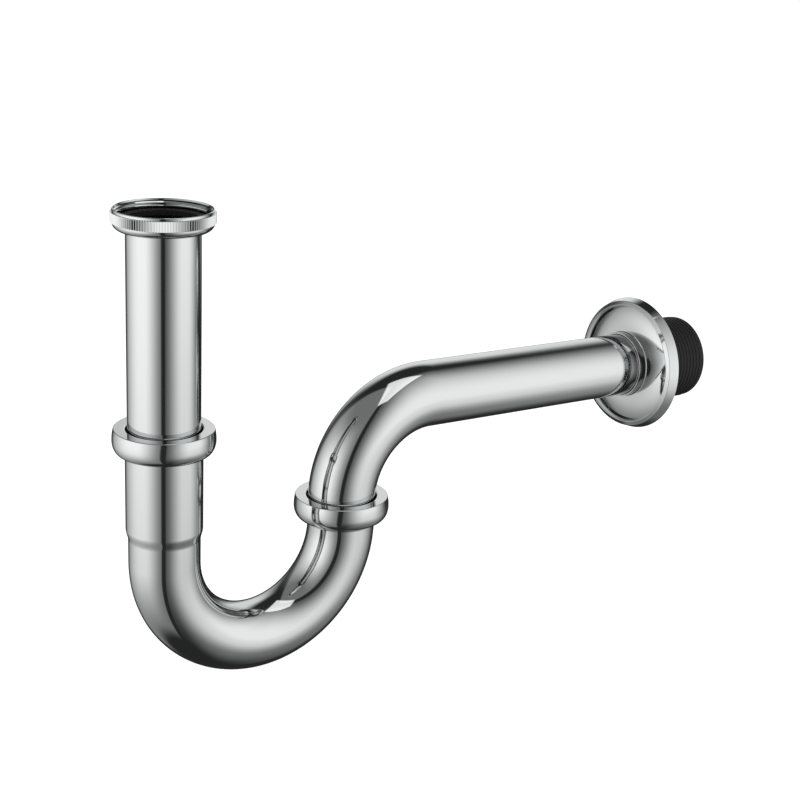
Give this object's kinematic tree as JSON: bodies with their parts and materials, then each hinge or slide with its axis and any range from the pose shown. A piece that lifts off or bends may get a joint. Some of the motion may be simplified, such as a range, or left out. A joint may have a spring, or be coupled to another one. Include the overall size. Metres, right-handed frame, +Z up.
{
  "type": "tubular trap",
  "caption": "Chrome tubular P-trap for a wash basin: knurled union inlet, swivelling U-bend with slip nuts, outlet bend, wall flange and ribbed rubber wall seal.",
  "frame": {"origin": "on the inlet's axis, on the upper face of the inlet washer, where the basin waste seals", "axes": "+Z up along the inlet's axis, out of its mouth; +X along the outlet towards the wall"},
  "size_m": [0.334, 0.0704, 0.2225],
  "materials": {
    "polished_chrome": "polished chrome plate on brass",
    "black_rubber": "moulded black rubber",
    "black_nylon": "moulded black nylon",
    "bare_brass": "turned brass, unplated"
  },
  "bodies": {
    "inlet": {"inlet_tube": "polished_chrome", "inlet_washer": "black_rubber"},
    "inlet_nut": {"inlet_nut": "polished_chrome"},
    "upper_seal": {"upper_cone_seal": "black_rubber"},
    "trap": {"trap_bend": "polished_chrome", "upper_thread_collar": "bare_brass", "lower_thread_collar": "bare_brass"},
    "upper_ring": {"upper_friction_ring": "black_nylon"},
    "upper_nut": {"upper_slip_nut": "polished_chrome"},
    "lower_ring": {"lower_friction_ring": "black_nylon"},
    "lower_nut": {"lower_slip_nut": "polished_chrome"},
    "lower_seal": {"lower_cone_seal": "black_rubber"},
    "outlet": {"outlet_tube": "polished_chrome", "wall_seal": "black_rubber"},
    "flange": {"wall_flange": "polished_chrome"}
  },
  "joints": [
    {"name": "inlet_nut_turn", "type": "hinge", "parent": "inlet", "child": "inlet_nut", "pos_m": [0, 0, 0], "axis": [0, 0, 1], "continuous": true},
    {"name": "height_adjust", "type": "slide", "parent": "inlet", "child": "upper_seal", "axis": [0, 0, 1], "range_m": [-0.015, 0.008]},
    {"name": "trap_swivel", "type": "hinge", "parent": "upper_seal", "child": "trap", "pos_m": [0, 0, -0.0985], "axis": [0, 0, 1], "continuous": true},
    {"name": "upper_ring_lift", "type": "slide", "parent": "trap", "child": "upper_ring", "axis": [0, 0, 1], "range_m": [0, 0.0045]},
    {"name": "upper_nut_turn", "type": "hinge", "parent": "upper_ring", "child": "upper_nut", "pos_m": [0, 0, -0.0925], "axis": [0, 0, 1], "range_deg": [0, 1081]},
    {"name": "lower_ring_lift", "type": "slide", "parent": "trap", "child": "lower_ring", "axis": [0, 0, 1], "range_m": [0, 0.0045]},
    {"name": "lower_nut_turn", "type": "hinge", "parent": "lower_ring", "child": "lower_nut", "pos_m": [0.094, 0, -0.1415], "axis": [0, 0, 1], "range_deg": [0, 1081]},
    {"name": "outlet_swivel", "type": "hinge", "parent": "trap", "child": "lower_seal", "pos_m": [0.094, 0, -0.1475], "axis": [0, 0, 1], "range_deg": [-135, 135]},
    {"name": "outlet_lift", "type": "slide", "parent": "lower_seal", "child": "outlet", "axis": [0, 0, 1], "range_m": [0, 0.003]},
    {"name": "flange_slide", "type": "slide", "parent": "outlet", "child": "flange", "axis": [0.9997, 0, -0.0262], "range_m": [-0.11, 0]}
  ],
  "couplings": [
    {"joint": "upper_nut_turn", "follows": "upper_ring_lift", "rad_per_m": 4188.8},
    {"joint": "lower_nut_turn", "follows": "lower_ring_lift", "rad_per_m": 4188.8}
  ]
}
